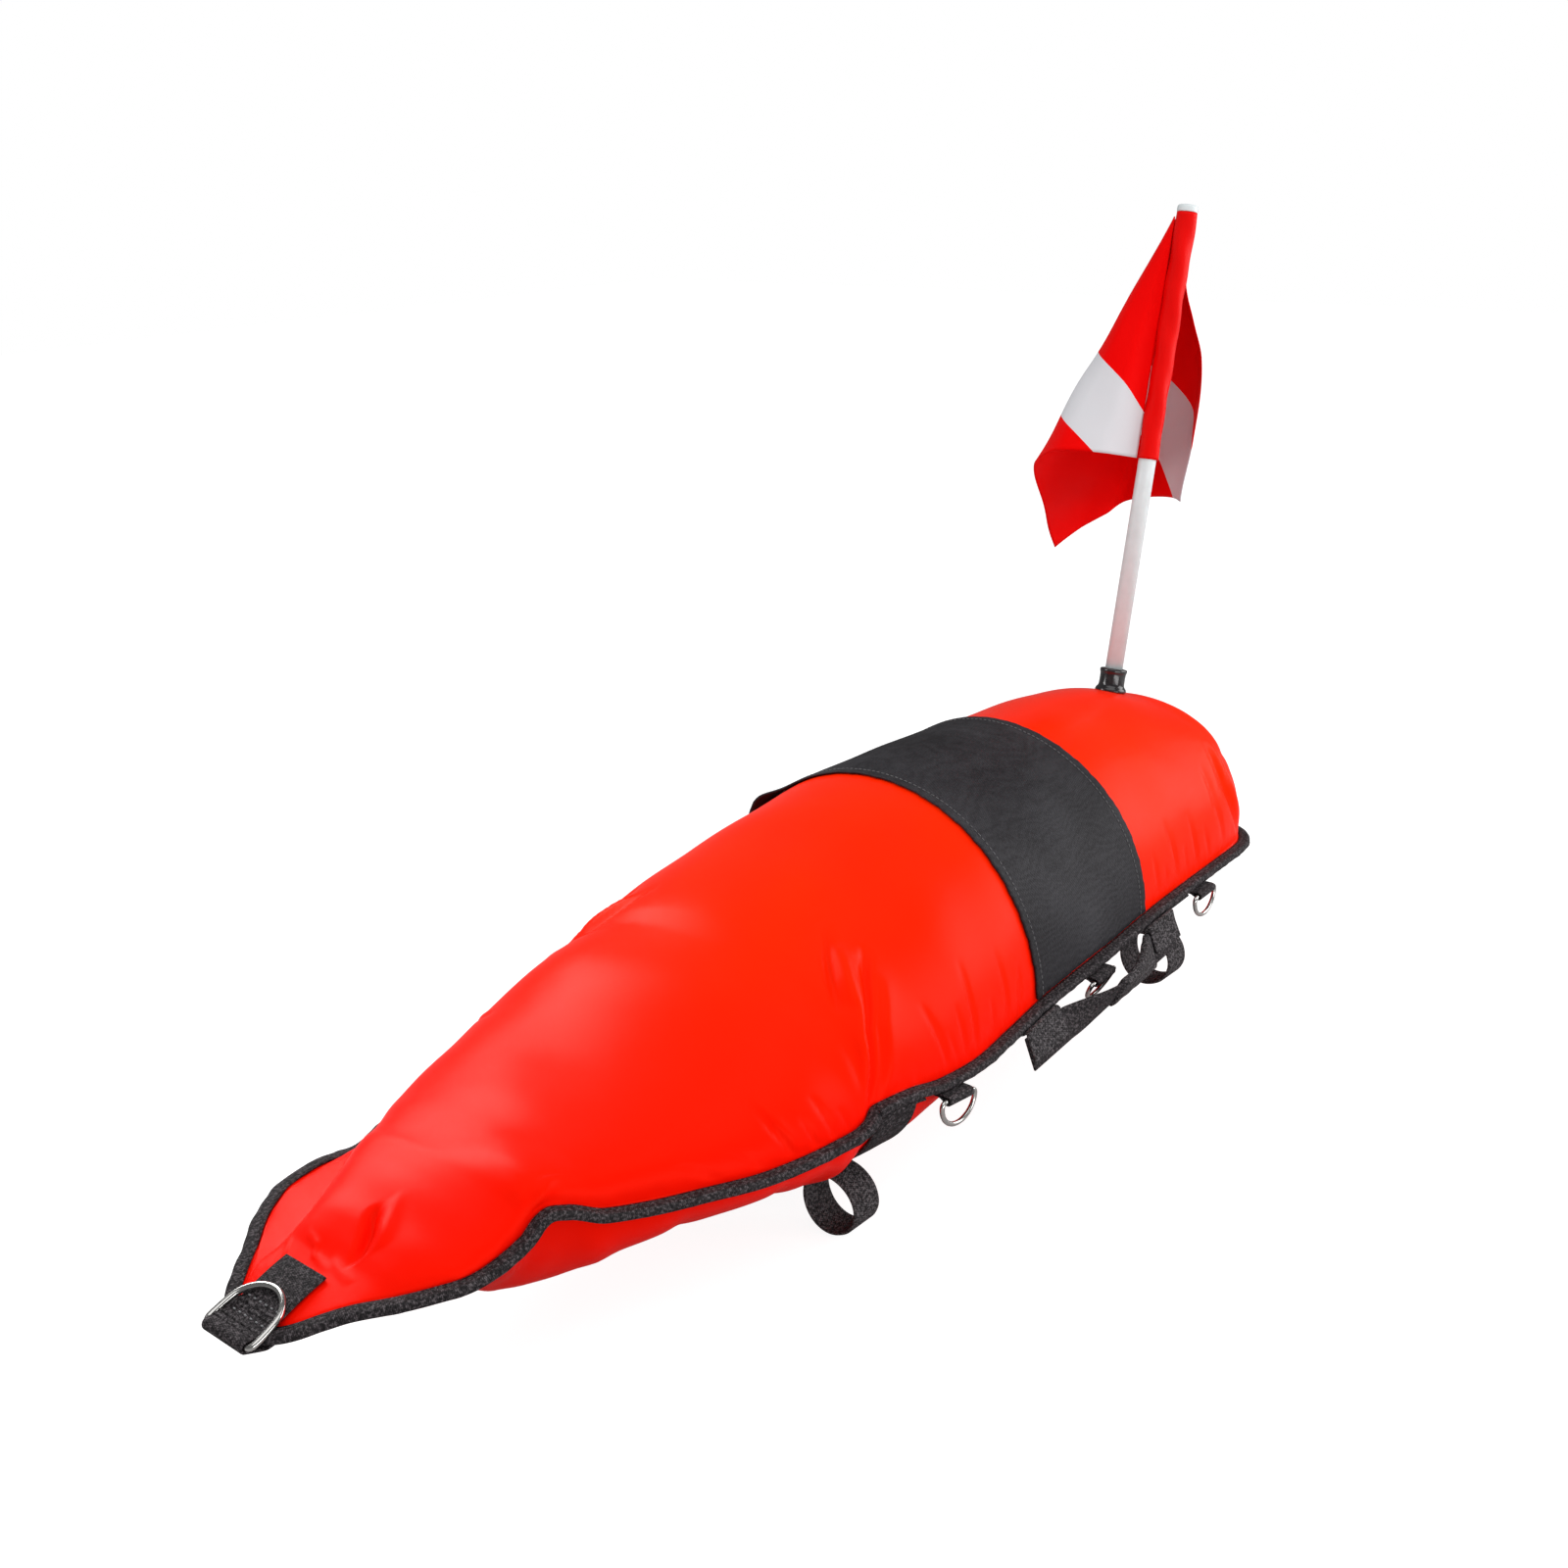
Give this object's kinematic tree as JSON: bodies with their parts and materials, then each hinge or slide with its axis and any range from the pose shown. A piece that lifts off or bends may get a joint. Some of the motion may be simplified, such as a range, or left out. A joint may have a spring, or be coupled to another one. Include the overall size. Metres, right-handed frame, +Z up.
{
  "type": "dive flag float",
  "caption": "Inflatable torpedo float in a sewn cover with tow ring, side rings, gear loops, carry handle, saddle panel and a pole that carries a hanging flag.",
  "frame": {"origin": "middle of the bounding box, on the floor the gear loops stand on", "axes": "+Z up, -X towards the nose and its tow ring, +X towards the tail and the pole, -Y the side with the carry handle"},
  "size_m": [1.0698, 0.352, 0.6507],
  "materials": {
    "orange_cover": "glossy coated nylon",
    "bladder_film": "welded film",
    "black_webbing": "woven webbing, matt",
    "charcoal_cloth": "coated woven cloth, satin",
    "stainless_steel": "polished stainless",
    "black_pvc": "glossy",
    "white_tube": "satin",
    "red_flag_cloth": "thin flag nylon, red with a white diagonal stripe"
  },
  "bodies": {
    "float": {"bladder": "bladder_film", "cover_top_panel": "orange_cover", "cover_bottom_panel": "orange_cover", "edge_binding": "black_webbing", "saddle_panel": "charcoal_cloth", "front_belly_strap": "black_webbing", "rear_belly_strap": "black_webbing", "front_near_gear_loop": "black_webbing", "front_far_gear_loop": "black_webbing", "rear_near_gear_loop": "black_webbing", "rear_far_gear_loop": "black_webbing", "near_front_tab": "black_webbing", "near_middle_tab": "black_webbing", "near_rear_tab": "black_webbing", "far_front_tab": "black_webbing", "far_middle_tab": "black_webbing", "far_rear_tab": "black_webbing", "nose_strap": "black_webbing", "pole_socket": "black_pvc", "inflation_valve": "black_pvc", "valve_stopper": "black_pvc", "zip_tape": "black_webbing"},
    "pole": {"flag_pole": "white_tube", "pole_tip_cap": "white_tube"},
    "flag": {"flag_sleeve": "red_flag_cloth", "flag_cloth": "red_flag_cloth"},
    "tow_ring": {"nose_ring": "stainless_steel"},
    "handle": {"carry_handle": "black_webbing", "handle_grip": "black_webbing", "handle_front_tab": "black_webbing", "handle_rear_tab": "black_webbing"},
    "slider": {"zip_slider": "stainless_steel"},
    "pull": {"zip_pull": "stainless_steel"},
    "near_front_ring": {"near_front_ring": "stainless_steel"},
    "near_middle_ring": {"near_middle_ring": "stainless_steel"},
    "near_rear_ring": {"near_rear_ring": "stainless_steel"},
    "far_front_ring": {"far_front_ring": "stainless_steel"},
    "far_middle_ring": {"far_middle_ring": "stainless_steel"},
    "far_rear_ring": {"far_rear_ring": "stainless_steel"}
  },
  "joints": [
    {"name": "near_front_ring_swing", "type": "hinge", "parent": "float", "child": "near_front_ring", "pos_m": [-0.06885, -0.16547, 0.10314], "axis": [-0.9949, 0.0255, 0.0973], "range_deg": [-55, 120]},
    {"name": "near_middle_ring_swing", "type": "hinge", "parent": "float", "child": "near_middle_ring", "pos_m": [0.14015, -0.15226, 0.1077], "axis": [-0.9982, -0.0455, -0.0401], "range_deg": [-35, 25]},
    {"name": "near_rear_ring_swing", "type": "hinge", "parent": "float", "child": "near_rear_ring", "pos_m": [0.31795, -0.14254, 0.11367], "axis": [-0.9986, -0.0525, 0], "range_deg": [-55, 120]},
    {"name": "far_front_ring_swing", "type": "hinge", "parent": "float", "child": "far_front_ring", "pos_m": [-0.06865, 0.17196, 0.10267], "axis": [0.9972, 0.0255, -0.0701], "range_deg": [-55, 120]},
    {"name": "far_middle_ring_swing", "type": "hinge", "parent": "float", "child": "far_middle_ring", "pos_m": [0.14015, 0.15875, 0.1077], "axis": [0.9982, -0.0455, 0.0401], "range_deg": [-60, 120]},
    {"name": "far_rear_ring_swing", "type": "hinge", "parent": "float", "child": "far_rear_ring", "pos_m": [0.31795, 0.14903, 0.11367], "axis": [0.9986, -0.0525, 0], "range_deg": [-55, 120]},
    {"name": "tow_ring_swing", "type": "hinge", "parent": "float", "child": "tow_ring", "pos_m": [-0.53077, 0.00324, 0.10377], "axis": [0, -1, 0], "range_deg": [0, 165]},
    {"name": "handle_swing", "type": "hinge", "parent": "float", "child": "handle", "pos_m": [0.04765, -0.15798, 0.10968], "axis": [-0.9974, -0.0527, -0.0496], "range_deg": [0, 100]},
    {"name": "pole_slide", "type": "slide", "parent": "float", "child": "pole", "axis": [0.2504, 0, 0.9681], "range_m": [0, 0.1]},
    {"name": "flag_turn", "type": "hinge", "parent": "pole", "child": "flag", "pos_m": [0.50813, 0.00324, 0.64251], "axis": [0.2504, 0, 0.9681], "continuous": true},
    {"name": "zip_slide", "type": "slide", "parent": "float", "child": "slider", "axis": [1, 0, 0], "range_m": [0, 0.244]},
    {"name": "zip_pull_swing", "type": "hinge", "parent": "slider", "child": "pull", "pos_m": [-0.01427, 0.00324, 0.05808], "axis": [0, 1, 0], "range_deg": [-90, 90]}
  ]
}
